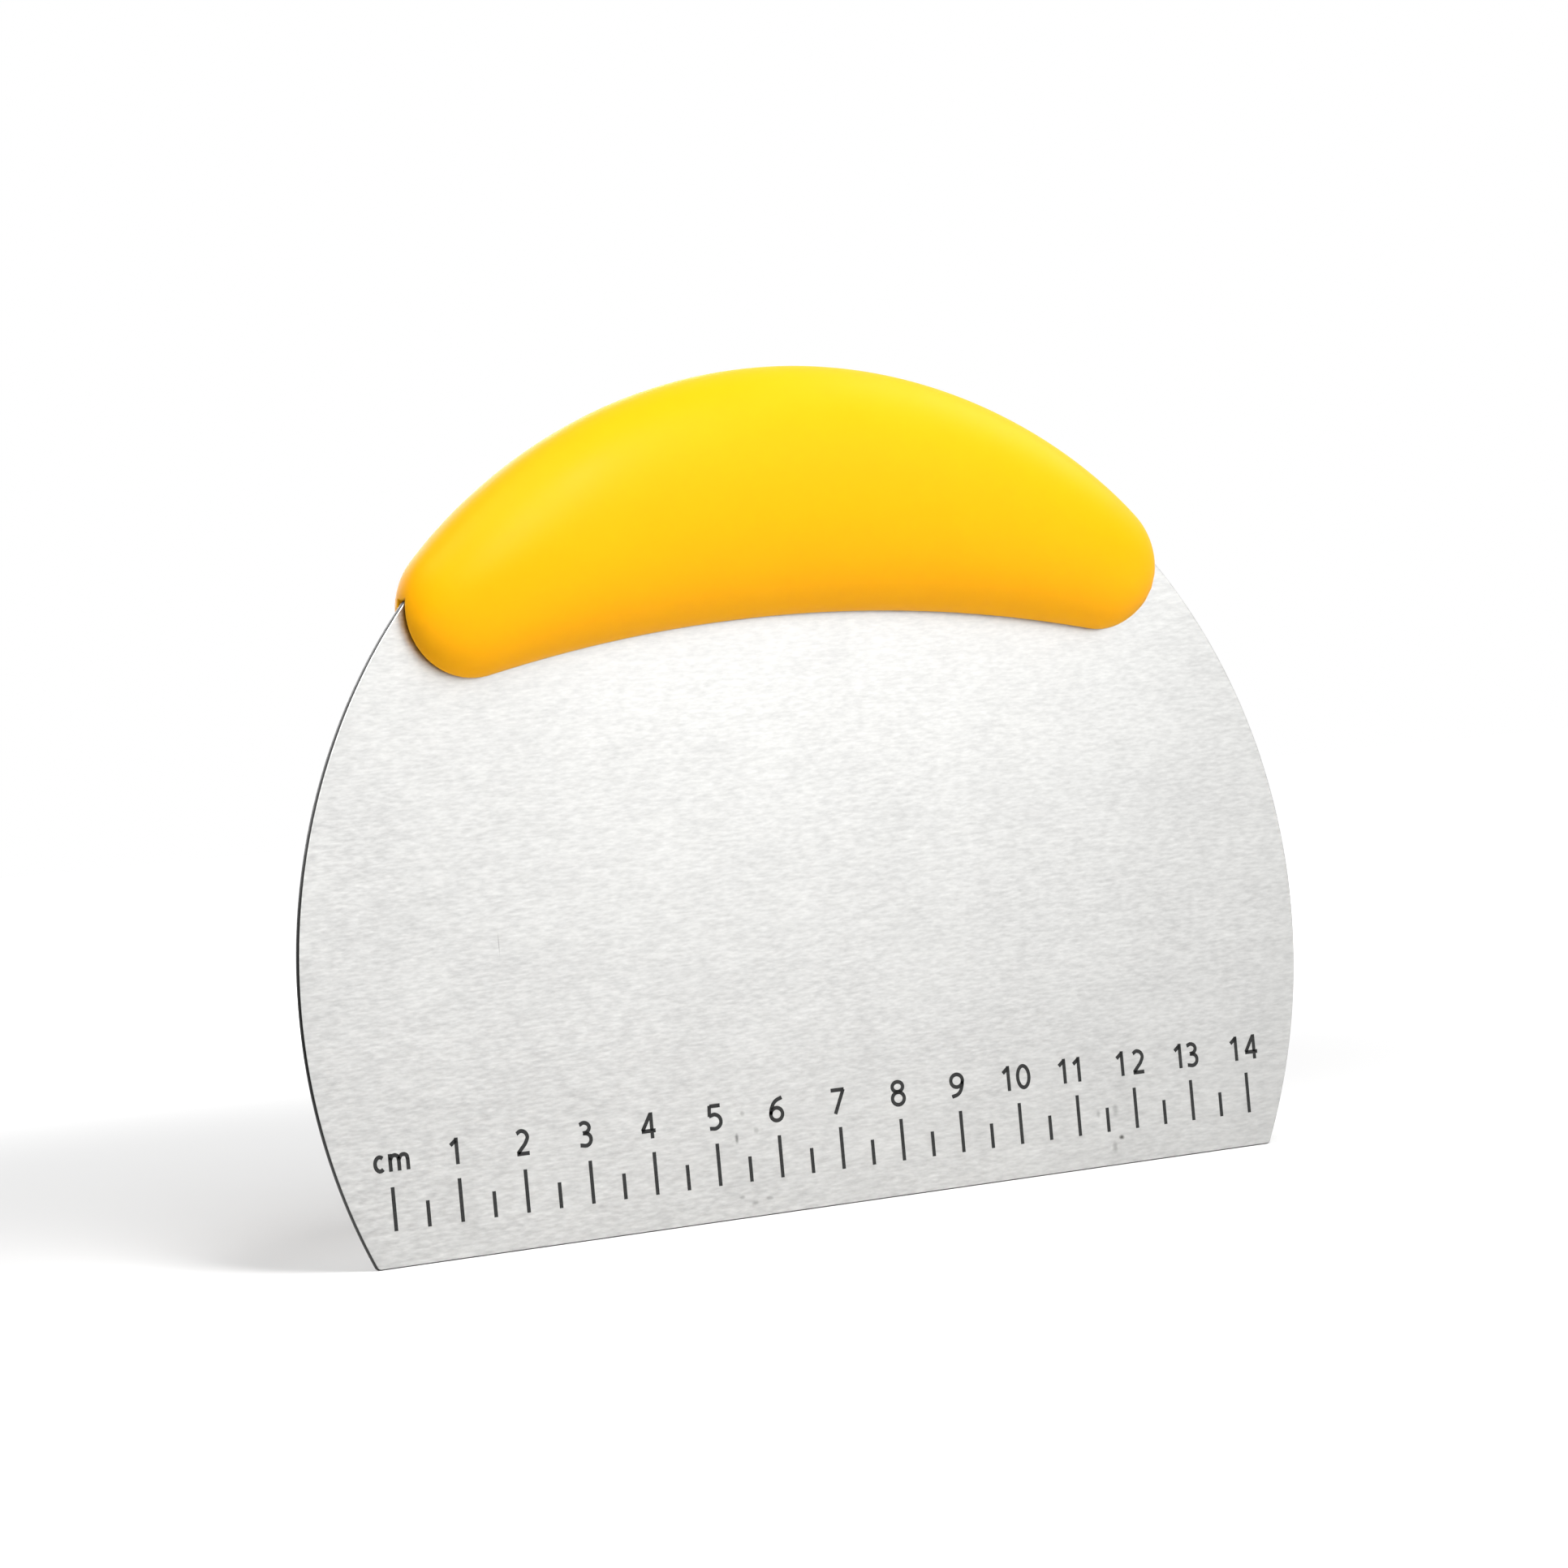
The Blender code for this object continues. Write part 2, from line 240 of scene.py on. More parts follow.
def brushed_steel():
    """Belt-brushed stainless steel: short fine lines along X that spread highlights up and down."""
    steel, shader, place = start_material("brushed_stainless_steel", Metallic=1.0,
                                          Anisotropic=0.6, Anisotropic_Rotation=0.25)
    brushing, sheet = belt_grain(steel, place)
    facing = add_node(steel, "ShaderNodeSeparateXYZ", Vector=place.outputs["Normal"])
    face = add_node(steel, "ShaderNodeMix", {"data_type": "RGBA"},
                    Factor=worn_specks(steel, place, facing), _6=sheet, _7=colour("#4E4D4B"))
    edge_and_painted_shade, on_face = cut_edge(steel, facing)
    whole = add_node(steel, "ShaderNodeMix", {"data_type": "RGBA"}, Factor=on_face,
                     _6=edge_and_painted_shade, _7=face.outputs[2])
    # Painted shade: close inside the handle's slot, where ambient occlusion is low, the sheet's
    # colour is turned nearly black
    open_air = add_node(steel, "ShaderNodeAmbientOcclusion", {"samples": 8}, Distance=0.0015)
    painted_slot_shade = add_node(steel, "ShaderNodeMapRange", Value=open_air.outputs["AO"],
                      From_Min=0.18, From_Max=0.42, To_Min=1.0, To_Max=0.0)
    base = add_node(steel, "ShaderNodeMix", {"data_type": "RGBA"}, Factor=painted_slot_shade.outputs[0],
                    _6=whole.outputs[2], _7=colour("#140B05"))
    join(steel, base.outputs[2], shader, "Base Color")
    gloss = add_node(steel, "ShaderNodeMapRange", Value=brushing, From_Min=NOISE_LOW,
                     From_Max=NOISE_HIGH, To_Min=0.30, To_Max=0.42)
    join(steel, gloss.outputs[0], shader, "Roughness")
    # The lines are a few thousandths of a millimetre deep
    relief = add_node(steel, "ShaderNodeBump", Height=brushing, Strength=0.15, Distance=0.00002)
    join(steel, relief.outputs[0], shader, "Normal")
    grain_way = add_node(steel, "ShaderNodeTangent",
                         {"direction_type": "UV_MAP", "uv_map": "along_the_sheet"})
    join(steel, grain_way.outputs[0], shader, "Tangent")
    return steel


# The blank is a round sheet cut straight at Z = 0, with its corners and its burr rounded
upright = Matrix.Rotation(math.pi / 2, 4, "X")
front_of_sheet = BLADE_CENTRE - Vector((0.0, SHEET_THICKNESS / 2, 0.0))
blank = bmesh.new()
bmesh.ops.create_circle(blank, cap_ends=True, segments=RIM_POINTS, radius=BLADE_RADIUS,
                        matrix=Matrix.Translation(front_of_sheet) @ upright)
bmesh.ops.bisect_plane(blank, geom=blank.verts[:] + blank.edges[:] + blank.faces[:], dist=1e-7,
                       plane_co=(0.0, 0.0, 0.0), plane_no=(0.0, 0.0, -1.0), clear_outer=True)
edge_ends = [vert for vert in blank.verts if abs(vert.co.z) < 1e-6]
bmesh.ops.bevel(blank, geom=edge_ends, offset=CORNER_ROUND, offset_type="OFFSET", segments=4,
                profile=0.5, affect="VERTICES", material=-1)
thick = bmesh.ops.extrude_face_region(blank, geom=blank.faces[:], use_keep_orig=True)
bmesh.ops.translate(blank, vec=(0.0, SHEET_THICKNESS, 0.0),
                    verts=[item for item in thick["geom"] if isinstance(item, bmesh.types.BMVert)])
bmesh.ops.recalc_face_normals(blank, faces=blank.faces[:])
outline = [edge for edge in blank.edges if len(edge.link_faces) == 2
           and any(abs(face.normal.y) > 0.9 for face in edge.link_faces)]
bmesh.ops.bevel(blank, geom=outline, offset=BURR_ROUND, offset_type="OFFSET", segments=3,
                profile=0.5, affect="EDGES", material=-1)

# The holes for the core's pegs are punched through it
punch = bmesh.new()
for x, z in PEG_HOLE_CENTRES:
    bmesh.ops.create_cone(punch, cap_ends=True, segments=HOLE_POINTS, radius1=PEG_HOLE_RADIUS,
                          radius2=PEG_HOLE_RADIUS, depth=4 * SHEET_THICKNESS,
                          matrix=Matrix.Translation((x, 0.0, z)) @ upright)
punch_tool = put_in_scene("punch", mesh_from("punch", punch))
sheet_item = put_in_scene("blank", mesh_from("blank", blank))
punching = sheet_item.modifiers.new("punching", "BOOLEAN")
punching.operation = "DIFFERENCE"
punching.solver = "EXACT"
punching.object = punch_tool
punched = mesh_as_finished(sheet_item)
bpy.data.objects.remove(sheet_item)
bpy.data.objects.remove(punch_tool)

# Its map gives the brushing its direction, and the flat faces keep a crisp border
sheet_form = bmesh.new()
sheet_form.from_mesh(punched)
along = sheet_form.loops.layers.uv.new("along_the_sheet")
for face in sheet_form.faces:
    brushed = abs(face.normal.y) > 0.3
    for loop in face.loops:
        spot = loop.vert.co
        loop[along].uv = (spot.x, spot.z) if brushed else (spot.x + spot.z, spot.y)
for edge in sheet_form.edges:
    edge.smooth = not any(abs(face.normal.y) > 0.999 for face in edge.link_faces)
blade = finished_piece("half_moon_blade", sheet_form, brushed_steel())
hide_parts("blade")


# Scale: 14 cm with a line every 5 mm and a number over every centimetre, marked on the front face
# by laser. The beam heats the steel until it darkens, so the marks are flat, dark grey and matt.
SCALE_LENGTH = 0.140
CENTIMETRE = 0.010
TICK_WIDTH = 0.00056
TICK_BASE = 0.00498
LONG_TICK = 0.00591
SHORT_TICK = 0.00354
NUMBER_HEIGHT = 0.0036
NUMBER_BASE = TICK_BASE + LONG_TICK + 0.0019
PEN_WIDTH = 0.00056
MARK_PROUD = 0.00001
MARK_SUNK = 0.00003
mark_depth = MARK_PROUD + MARK_SUNK
mark_middle = -SHEET_THICKNESS / 2 - (MARK_PROUD - MARK_SUNK) / 2


def bow(x, y, across, up, start, end, steps=8):
    """Points on part of an oval, between two angles in degrees."""
    angles = [math.radians(start + (end - start) * step / steps) for step in range(steps + 1)]
    return [(x + across * math.cos(angle), y + up * math.sin(angle)) for angle in angles]


# Each figure is drawn with a broad pen, in shares of its height, on either side of x = 0. A stroke
# of two points is straight, one that ends where it starts is closed, and others are smooth.
FIGURES = {
    "0": [bow(0.0, 0.5, 0.265, 0.430, 0, 360, 16)],
    "1": [[(-0.25, 0.73), (0.01, 0.93)], [(0.0, 0.0), (0.0, 1.0)]],
    "2": [[(-0.22, 0.84), (-0.01, 0.93), (0.22, 0.74), (0.15, 0.50), (-0.05, 0.27), (-0.22, 0.09)],
          [(-0.26, 0.07), (0.27, 0.07)]],
    "3": [[(-0.22, 0.87), (0.0, 0.93), (0.19, 0.77), (0.10, 0.58), (-0.09, 0.535)],
          [(-0.09, 0.535), (0.14, 0.48), (0.235, 0.28), (0.10, 0.08), (-0.24, 0.09)]],
    "4": [[(0.13, 0.95), (-0.26, 0.31)], [(-0.30, 0.295), (0.31, 0.295)],
          [(0.15, 0.0), (0.15, 1.0)]],
    "5": [[(-0.21, 0.93), (0.25, 0.93)], [(-0.22, 0.96), (-0.25, 0.53)],
          [(-0.26, 0.55), (0.04, 0.585), (0.24, 0.32), (0.07, 0.08), (-0.27, 0.07)]],
    "6": [[(0.28, 0.93), (-0.03, 0.80), (-0.21, 0.54), (-0.26, 0.30)],
          bow(0.0, 0.30, 0.262, 0.245, 0, 360, 16)],
    "7": [[(-0.31, 0.93), (0.29, 0.93)], [(0.26, 0.94), (-0.18, 0.0)]],
    "8": [bow(0.0, 0.745, 0.24, 0.195, 0, 360, 16), bow(0.0, 0.285, 0.27, 0.245, 0, 360, 16)],
    "9": [[(-0.27, 0.06), (0.06, 0.17), (0.22, 0.43), (0.27, 0.70)],
          bow(0.0, 0.68, 0.27, 0.25, 0, 360, 16)],
    "c": [bow(0.02, 0.372, 0.195, 0.262, 50, 310, 12)],
    "m": [[(-0.365, 0.05), (-0.365, 0.71)],
          [(-0.365, 0.47), (-0.25, 0.63), (-0.06, 0.60), (-0.01, 0.45)],
          [(-0.01, 0.48), (-0.01, 0.05)],
          [(-0.01, 0.47), (0.12, 0.63), (0.31, 0.60), (0.36, 0.45)],
          [(0.36, 0.48), (0.36, 0.05)]],
}
# Middle of each sign, in mm to the right of its centimetre line: they were set one by one, not
# centred
SIGN_PLACES = {
    "cm": (-1.62, 1.32), "1": (0.0,), "2": (-0.06,), "3": (-0.4,), "4": (-0.56,), "5": (0.06,),
    "6": (-0.1,), "7": (0.04,), "8": (-0.1,), "9": (-0.18,), "10": (-1.42, 1.11),
    "11": (-1.78, 0.72), "12": (-1.70, 1.08), "13": (-1.44, 0.65), "14": (-1.42, 1.26),
}


def draw_figures(lettering, text, line):
    """Draw a word or number with the pen, over its line of the scale."""
    for sign, place in zip(text, SIGN_PLACES[text]):
        for stroke in FIGURES[sign]:
            closed = len(stroke) > 2 and math.dist(stroke[0], stroke[-1]) < 1e-6
            bend = "VECTOR" if len(stroke) == 2 else "AUTO"
            knots = stroke[:-1] if closed else stroke
            spline = lettering.splines.new("BEZIER")
            spline.bezier_points.add(len(knots) - 1)
            spline.use_cyclic_u = closed
            for knot, (x, y) in zip(spline.bezier_points, knots):
                knot.co = (line + place / 1000 + x * NUMBER_HEIGHT,
                           NUMBER_BASE + y * NUMBER_HEIGHT, 0.0)
                knot.handle_left_type = knot.handle_right_type = bend


def laser_mark():
    """Laser-annealed steel: a thin dark oxide, matt, a little uneven along the brushed lines."""
    mark, shader, place = start_material("laser_darkened_steel", Roughness=0.6,
                                         Specular_IOR_Level=0.2)
    lines = add_node(mark, "ShaderNodeMapping", Vector=place.outputs["Object"],
                     Scale=per_mm(1.43, 1.43, 0.2))
    patches = add_node(mark, "ShaderNodeTexNoise", Vector=lines.outputs[0], Scale=1.0, Detail=2.0)
    ink = add_node(mark, "ShaderNodeMix", {"data_type": "RGBA"}, Factor=patches.outputs["Fac"],
                   _6=colour("#1C1C1C"), _7=colour("#363636"))
    join(mark, ink.outputs[2], shader, "Base Color")
    return mark


darkened = laser_mark()
ticks = bmesh.new()
for half_centimetre in range(round(2 * SCALE_LENGTH / CENTIMETRE) + 1):
    tall = LONG_TICK if half_centimetre % 2 == 0 else SHORT_TICK
    middle = Vector((half_centimetre * CENTIMETRE / 2 - SCALE_LENGTH / 2, mark_middle,
                     TICK_BASE + tall / 2))
    line = bmesh.ops.create_cube(ticks, size=1.0)
    bmesh.ops.scale(ticks, vec=(TICK_WIDTH, mark_depth, tall), verts=line["verts"])
    bmesh.ops.translate(ticks, vec=middle, verts=line["verts"])
tick_marks = finished_piece("scale_lines", ticks, darkened, smooth=False)

# The pen's nib is as wide as a stroke and as deep as the mark
nib_curve = bpy.data.curves.new("pen_nib", "CURVE")
nib_curve.dimensions = "2D"
nib_line = nib_curve.splines.new("POLY")
nib_line.points.add(3)
nib_line.use_cyclic_u = True
for point, (x, y) in zip(nib_line.points, ((-1, -1), (1, -1), (1, 1), (-1, 1))):
    point.co = (x * PEN_WIDTH / 2, y * mark_depth / 2, 0.0, 1.0)
nib = put_in_scene("pen_nib", nib_curve)
lettering = bpy.data.curves.new("lettering", "CURVE")
lettering.dimensions = "3D"
lettering.twist_mode = "Z_UP"
lettering.resolution_u = 5
lettering.bevel_mode = "OBJECT"
lettering.bevel_object = nib
lettering.use_fill_caps = True
for centimetre in range(round(SCALE_LENGTH / CENTIMETRE) + 1):
    draw_figures(lettering, str(centimetre) if centimetre else "cm",
                 centimetre * CENTIMETRE - SCALE_LENGTH / 2)
lettering_item = put_in_scene("lettering", lettering)
written = mesh_as_finished(lettering_item)
bpy.data.objects.remove(lettering_item)
bpy.data.objects.remove(nib)
figures = bmesh.new()
figures.from_mesh(written)
bmesh.ops.remove_doubles(figures, verts=figures.verts[:], dist=1e-7)
bmesh.ops.transform(figures, verts=figures.verts[:],
                    matrix=Matrix.Translation((0.0, mark_middle, 0.0)) @ upright)
bmesh.ops.recalc_face_normals(figures, faces=figures.faces[:])
numbers = finished_piece("scale_numbers", figures, darkened, smooth=False)


# Core: two moulded halves of undyed polypropylene clamp the blade inside the handle, the rear one
# with pegs through the blade's holes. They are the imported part's own nodes, and the skin round
# them hides nearly all of them.
def undyed_polypropylene():
    """Undyed moulded plastic: milky, with a dull skin and faint flow marks along the moulding."""
    plastic, shader, place = start_material("natural_polypropylene", IOR=1.49, Roughness=0.48)
    flow = add_node(plastic, "ShaderNodeMapping", Vector=place.outputs["Object"],
                    Scale=per_mm(16.7, 5.0, 5.0))
    marks = add_node(plastic, "ShaderNodeTexNoise", Vector=flow.outputs[0], Scale=1.0, Detail=3.0)
    milk = add_node(plastic, "ShaderNodeMix", {"data_type": "RGBA"}, Factor=marks.outputs["Fac"],
                    _6=colour("#DDDACB"), _7=colour("#EEECE2"))
    join(plastic, milk.outputs[2], shader, "Base Color")
    # Grain of its mould, about 0.3 mm
    fine = add_node(plastic, "ShaderNodeTexNoise", Vector=place.outputs["Object"],
                    Scale=per_mm(0.333), Detail=2.0)
    skin = add_node(plastic, "ShaderNodeBump", Height=fine.outputs["Fac"], Strength=0.15,
                    Distance=0.00003)
    join(plastic, skin.outputs[0], shader, "Normal")
    return plastic


core_plastic = undyed_polypropylene()
for name in ("core_front", "core_rear"):
    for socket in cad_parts[name].material_slots:
        socket.material = core_plastic


# Grip: a seamless soft yellow skin moulded over the core, 1.6 mm thick. Its banana outline is a
# crest arc, a hollow underside arc and a round lobe at each end, and the blade comes out of a slot.
CREST_RADIUS = 0.0823
CREST_CENTRE = 0.0361
UNDER_RADIUS = 0.2300
UNDER_CENTRE = -0.1467
LOBE_RADIUS = 0.0098
GRIP_DEPTH = 0.0225
CHEEK_POWER = 2.15           # section across the grip: 2 is an ellipse, more is fuller
TAPER_POWER = 2.9            # the same for its outline from above
SKIN_THICKNESS = 0.0016
SLOT_HALF_WIDTH = 0.0011
SLOT_REACH = 0.0814          # of the slot's ends from the blade's centre
LIP_ROUND = 0.0002
ROUND = 320                  # points round the outline
LEVELS = 56                  # from the front cheek to the rear one
LOBE_SHARE = 0.165           # of each half of the outline
SPINE_STEPS = 400


def on_arc(centre_height, radius, angle):
    """Point on an arc round a centre on the Z axis, at an angle from straight up."""
    return Vector((radius * math.sin(angle), 0.0, centre_height + radius * math.cos(angle)))


# The lobe touches the crest arc from within and the underside arc from without
from_crest = CREST_RADIUS - LOBE_RADIUS
from_under = UNDER_RADIUS + LOBE_RADIUS
lobe_height = ((from_crest ** 2 - from_under ** 2 - CREST_CENTRE ** 2 + UNDER_CENTRE ** 2)
               / (2 * (UNDER_CENTRE - CREST_CENTRE)))
lobe = Vector((math.sqrt(from_crest ** 2 - (lobe_height - CREST_CENTRE) ** 2), 0.0, lobe_height))
sideways = Vector((lobe.x, 0.0, 0.0))
crest_turn = math.atan2(lobe.x, lobe.z - CREST_CENTRE)
under_turn = math.atan2(lobe.x, lobe.z - UNDER_CENTRE)
lobe_middle = (math.pi + under_turn + crest_turn) / 2
lobe_turn = (math.pi + under_turn - crest_turn) / 2


def crest_and_underside(share):
    """Opposite points of the outline, at a share of the way from the middle to the right tip."""
    if share <= 1.0 - LOBE_SHARE:
        share /= 1.0 - LOBE_SHARE
        return (on_arc(CREST_CENTRE, CREST_RADIUS, share * crest_turn),
                on_arc(UNDER_CENTRE, UNDER_RADIUS, share * under_turn))
    turn = lobe_turn * (1.0 - share) / LOBE_SHARE
    return (sideways + on_arc(lobe.z, LOBE_RADIUS, lobe_middle - turn),
            sideways + on_arc(lobe.z, LOBE_RADIUS, lobe_middle + turn))


# Length along the spine, which sets how the handle's depth tapers towards its tips
spine = [sum(crest_and_underside(step / SPINE_STEPS), Vector()) / 2
         for step in range(SPINE_STEPS + 1)]
spine_run = [0.0]
for near, far in zip(spine, spine[1:]):
    spine_run.append(spine_run[-1] + (far - near).length)


def run_share(share):
    """Share of the spine's length that lies between the middle and a place on the outline."""
    step = min(int(share * SPINE_STEPS), SPINE_STEPS - 1)
    part = share * SPINE_STEPS - step
    return (spine_run[step] + part * (spine_run[step + 1] - spine_run[step])) / spine_run[-1]


def place_of_run(wanted, halvings=40):
    """Place on the outline where the spine has run a given share of its length."""
    low, high = 0.0, 1.0
    for _ in range(halvings):
        middle = (low + high) / 2
        low, high = (middle, high) if run_share(middle) < wanted else (low, middle)
    return (low + high) / 2


def superellipse(share, power):
    """Height of a superellipse: 1 in its middle, falling to 0 at a share of 1."""
    return max(0.0, 1.0 - share ** power) ** (1 / power)


def half_depth(share):
    """Half of the handle's depth at a place on the outline."""
    return GRIP_DEPTH / 2 * superellipse(run_share(share), TAPER_POWER)


# The slot ends where the blade's rim leaves the outer side of each lobe
apart = math.hypot(lobe.x, lobe.z - BLADE_CENTRE.z)
lean = math.acos((SLOT_REACH ** 2 - apart ** 2 - LOBE_RADIUS ** 2) / (2 * apart * LOBE_RADIUS))
slot_end = math.atan2(lobe.x, lobe.z - BLADE_CENTRE.z) + lean
end_share = (lobe_middle - slot_end) / lobe_turn * LOBE_SHARE
end_step = round(end_share * ROUND / 4)
slot_phase = math.asin(2 * SLOT_HALF_WIDTH / GRIP_DEPTH)


def skin_point(level, step):
    """Point of the skin's right half, by its level in depth and its step up from the lobe's tip."""
    # Levels are planes of equal depth: the blade's plane, the slot's two lips, and the cheeks
    if abs(level) <= 1:
        phase = abs(level) * slot_phase
    else:
        phase = slot_phase + (math.pi / 2 - slot_phase) * (abs(level) - 1) / (LEVELS / 2 - 1)
    depth = GRIP_DEPTH / 2 * math.sin(phase)
    # From the tip of a lobe to the middle, with one point just where the slot ends
    if abs(step) <= end_step:
        far = abs(step) / end_step * end_share
    else:
        far = 1.0 - (1.0 - end_share) * (ROUND / 4 - abs(step)) / (ROUND / 4 - end_step)
    reach = place_of_run(superellipse(math.sin(phase), TAPER_POWER))
    round_share = phase / (math.pi / 2)
    share = reach * ((1.0 - round_share) * (1.0 - far) + round_share * math.cos(far * math.pi / 2))
    if step == 0 or abs(level) == LEVELS // 2:
        fullness = 0.0
    elif level == 0:
        fullness = 1.0
    else:
        fullness = superellipse(depth / max(half_depth(share), 1e-9), CHEEK_POWER)
    top, under = crest_and_underside(share)
    point = (top + under) / 2 + (top - under) / 2 * fullness * (1.0 if step > 0 else -1.0)
    return point + Vector((0.0, math.copysign(depth, level), 0.0))


skin = bmesh.new()
bmesh.ops.create_uvsphere(skin, u_segments=ROUND, v_segments=LEVELS, radius=1.0, matrix=upright)
opening = []
for vert in skin.verts:
    level = round(math.asin(max(-1.0, min(1.0, vert.co.y))) / math.pi * LEVELS)
    step = round(math.atan2(vert.co.z, abs(vert.co.x)) / (2 * math.pi) * ROUND)
    if level == 0 and step < end_step:
        opening.append(vert)
    point = skin_point(level, step)
    vert.co = (math.copysign(point.x, vert.co.x), point.y, point.z)
bmesh.ops.remove_doubles(skin, verts=skin.verts[:], dist=1e-6)
bmesh.ops.recalc_face_normals(skin, faces=skin.faces[:])
# The strip between the lips goes, and the open skin gets its thickness
bmesh.ops.delete(skin, geom=[vert for vert in opening if vert.is_valid], context="VERTS")
lip = [edge for edge in skin.edges if edge.is_boundary]
bmesh.ops.solidify(skin, geom=skin.faces[:], thickness=SKIN_THICKNESS)
bmesh.ops.bevel(skin, geom=lip, offset=LIP_ROUND, offset_type="OFFSET", segments=3, profile=0.5,
                affect="EDGES", material=-1)
bmesh.ops.recalc_face_normals(skin, faces=skin.faces[:])


def soft_yellow():
    """Soft-touch moulded plastic: strong warm yellow, satin, with the fine grain of its mould."""
    soft, shader, place = start_material(
        "yellow_soft_plastic", IOR=1.50, Specular_IOR_Level=0.08, Subsurface_Weight=0.08,
        Subsurface_Radius=(0.0015, 0.0008, 0.0001), Subsurface_Scale=1.0)
    # Patches of about 11 mm, a little paler and duller, where hands rub it
    handling = add_node(soft, "ShaderNodeTexNoise", Vector=place.outputs["Object"],
                        Scale=per_mm(11.1), Detail=4.0, Roughness=0.6)
    dye = add_node(soft, "ShaderNodeMix", {"data_type": "RGBA"}, Factor=handling.outputs["Fac"],
                   _6=colour("#FBAB07"), _7=colour("#FBB10A"))
    join(soft, dye.outputs[2], shader, "Base Color")
    satin = add_node(soft, "ShaderNodeMapRange", Value=handling.outputs["Fac"],
                     From_Min=NOISE_LOW, From_Max=NOISE_HIGH, To_Min=0.42, To_Max=0.50)
    join(soft, satin.outputs[0], shader, "Roughness")
    # Mould grain of about 0.2 mm, which softens highlights more than it shows
    grain = add_node(soft, "ShaderNodeTexNoise", Vector=place.outputs["Object"],
                     Scale=per_mm(0.222), Detail=2.0, Roughness=0.6)
    relief = add_node(soft, "ShaderNodeBump", Height=grain.outputs["Fac"], Strength=0.12,
                      Distance=0.00003)
    join(soft, relief.outputs[0], shader, "Normal")
    return soft


grip = finished_piece("banana_grip", skin, soft_yellow())
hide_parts("grip")


# Studio: a plain white floor under a white surround, a tall strip light in front, which lays the
# shadow straight back, and weaker soft boxes to the right, to the left, behind and low in front.
FLOOR_HALF_WIDTH = 6.0
GLOW_MIDDLE = (0.03, 0.18, 0.0)
GLOW_START = 0.02
MIRRORED_GLOW_START = 0.38
GLOW_WIDTH = 0.66
SURROUND_LIGHT = 0.10
LAMP_TARGET = Vector((0.0, 0.0, 0.06))


def to_the_eye(owner, rays):
    """1 for what the camera sees, also in a mirror or through glass, and 0 for light alone."""
    seen = 0.0
    for name in ("Is Camera Ray", "Is Glossy Ray", "Is Transmission Ray"):
        seen = add_node(owner, "ShaderNodeMath", {"operation": "MAXIMUM"}, _0=seen,
                        _1=rays.outputs[name]).outputs[0]
    return seen


def studio_white():
    """White floor that keeps shadows, and shows white where nothing shades it."""
    white, shader, place = start_material(
        "white_floor", Base_Color=colour("#CECECE"), Roughness=0.9, Specular_IOR_Level=0.0,
        Emission_Color=colour("#FFFFFF"))
    rays = add_node(white, "ShaderNodeLightPath")
    # The lamps light the floor round the scraper. Further out from a spot behind it, the floor
    # shows white by itself, and to the blade that mirrors it this starts further out still
    away = add_node(white, "ShaderNodeVectorMath", {"operation": "DISTANCE"},
                    _0=place.outputs["Object"], _1=GLOW_MIDDLE)
    start = add_node(white, "ShaderNodeMapRange", Value=rays.outputs["Is Camera Ray"],
                     To_Min=MIRRORED_GLOW_START, To_Max=GLOW_START)
    end = add_node(white, "ShaderNodeMath", {"operation": "ADD"}, _0=start.outputs[0],
                   _1=GLOW_WIDTH)
    glow = add_node(white, "ShaderNodeMapRange", {"interpolation_type": "SMOOTHSTEP"},
                    Value=away.outputs["Value"], From_Min=start.outputs[0],
                    From_Max=end.outputs[0])
    lift = add_node(white, "ShaderNodeMath", {"operation": "MULTIPLY"},
                    _0=to_the_eye(white, rays), _1=glow.outputs[0])
    join(white, lift.outputs[0], shader, "Emission Strength")
    return white


ground = bmesh.new()
bmesh.ops.create_grid(ground, x_segments=1, y_segments=1, size=FLOOR_HALF_WIDTH)
ground_mesh = mesh_from("floor", ground)
ground_mesh.materials.append(studio_white())
floor = put_in_scene("floor", ground_mesh)

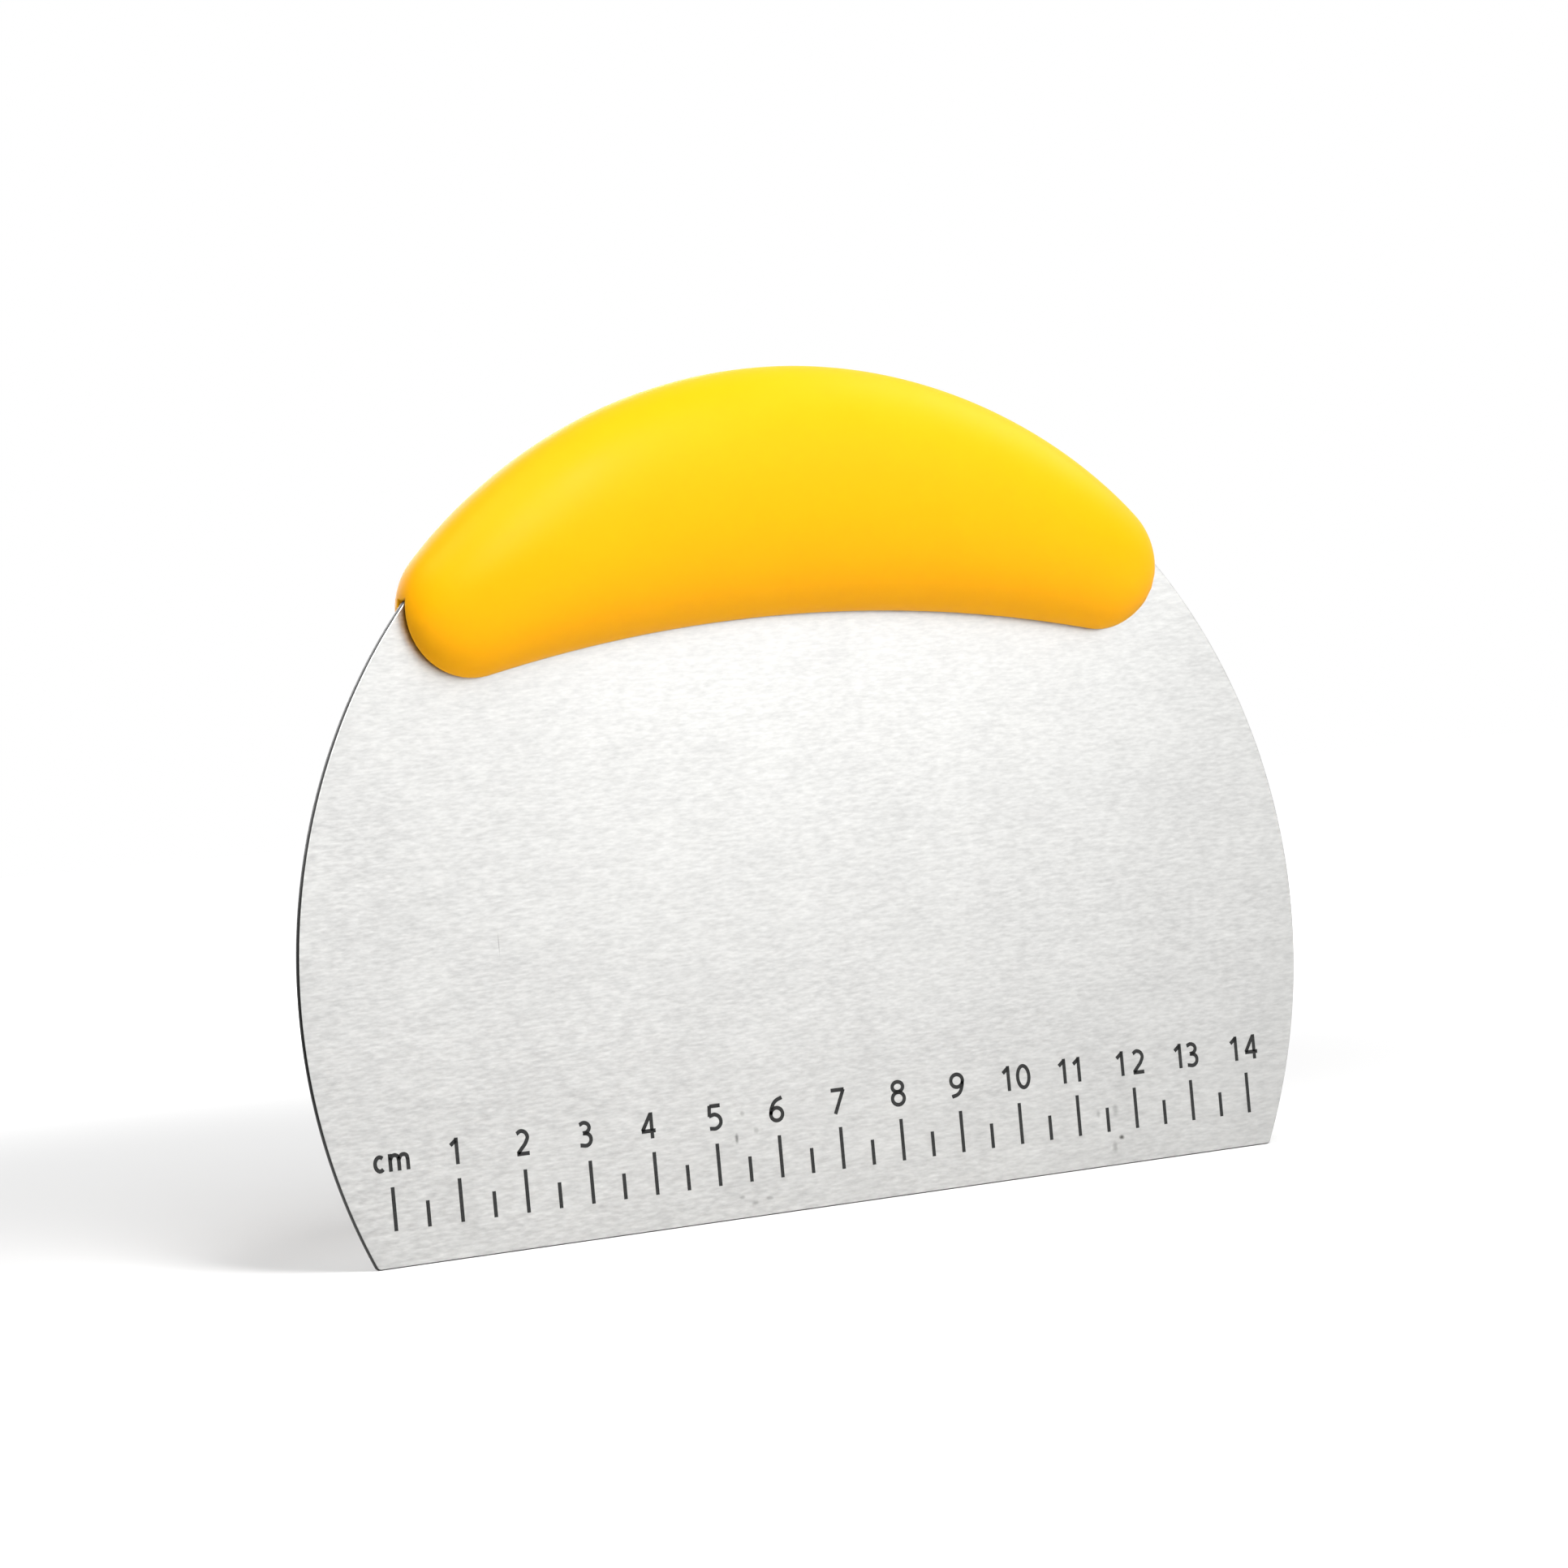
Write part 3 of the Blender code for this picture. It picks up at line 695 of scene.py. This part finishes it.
surround = bpy.data.worlds.new("surround")
surround.use_nodes = True
bpy.context.scene.world = surround
background = surround.node_tree.nodes["Background"]
background.inputs["Color"].default_value = colour("#FFFFFF")
shown = to_the_eye(surround, add_node(surround, "ShaderNodeLightPath"))
strength = add_node(surround, "ShaderNodeMapRange", Value=shown, To_Min=SURROUND_LIGHT, To_Max=1.0)
join(surround, strength.outputs[0], background, "Strength")


def soft_light(name, turn, rise, distance, width, height, power):
    """Soft box aimed at the scraper's middle, by its angles to the right of the front and up."""
    box = bpy.data.lights.new(name, "AREA")
    box.shape = "RECTANGLE"
    box.size = width
    box.size_y = height
    box.energy = power
    turn, rise = math.radians(turn), math.radians(rise)
    towards = Vector((math.sin(turn) * math.cos(rise), -math.cos(turn) * math.cos(rise),
                      math.sin(rise)))
    lamp = put_in_scene(name, box)
    lamp.location = LAMP_TARGET + distance * towards
    lamp.rotation_euler = (-towards).to_track_quat("-Z", "Y").to_euler()


# The tall strip gives the blade's shadow its crisp side edge and its soft top
soft_light("front_strip", turn=-4, rise=45, distance=1.0, width=0.2, height=0.6, power=11.2)
soft_light("right_softbox", turn=90, rise=40, distance=1.0, width=0.5, height=0.5, power=3.2)
soft_light("left_softbox", turn=-80, rise=65, distance=1.0, width=0.6, height=0.6, power=4.6)
soft_light("rear_softbox", turn=175, rise=20, distance=1.0, width=0.8, height=0.5, power=4.5)
soft_light("small_softbox", turn=32, rise=20, distance=0.45, width=0.2, height=0.2, power=0.35)


# Camera: level with the lower part of the handle, 30 degrees to the left of square on and tilted
# 5 degrees, with a long lens. Its place, angles and lens lay the scale's lines where the
# photograph shows them.
CAMERA_PLACE = (-0.35495, -0.60679, 0.062725)
CAMERA_ANGLES = (89.7532, 5.1988, -30.0801)     # degrees about X, Y and Z
LENS = 114.596                                  # mm, as is the film's width
FILM_WIDTH = 36.0

view = bpy.data.cameras.new("camera")
view.lens = LENS
view.sensor_width = FILM_WIDTH
view.clip_start = 0.01
view.clip_end = 50.0
camera = put_in_scene("camera", view)
turned = Euler([math.radians(angle) for angle in CAMERA_ANGLES]).to_matrix().to_4x4()
camera.matrix_world = Matrix.Translation(CAMERA_PLACE) @ turned
bpy.context.scene.camera = camera
bpy.context.scene.view_settings.view_transform = "Standard"
